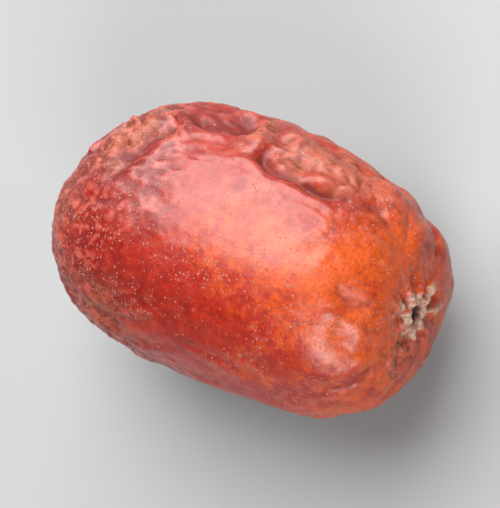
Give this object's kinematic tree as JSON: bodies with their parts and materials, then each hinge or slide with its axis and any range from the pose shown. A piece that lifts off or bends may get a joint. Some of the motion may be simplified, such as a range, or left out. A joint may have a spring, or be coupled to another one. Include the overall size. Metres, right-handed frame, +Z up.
{
  "type": "dried oleaster fruit",
  "caption": "A dried oleaster fruit lying on its side: an oblong, glossy orange-red drupe with a shrivelled skin, a star-shaped stem scar at one end and a puckered blossom end.",
  "frame": {"origin": "middle of the bounding box in X and Y, on the surface the fruit rests on", "axes": "+X runs from the blossom end to the stem scar, +Z is up, and +Y is the side with the folded shoulder"},
  "size_m": [0.0234, 0.0156, 0.0151],
  "materials": {
    "skin": "thin dried fruit skin, glossy, orange-red to crimson, strewn with tiny silvery scales; the stem scar is pale and corky"
  },
  "bodies": {
    "root": {"fruit": "skin"}
  },
  "joints": []
}
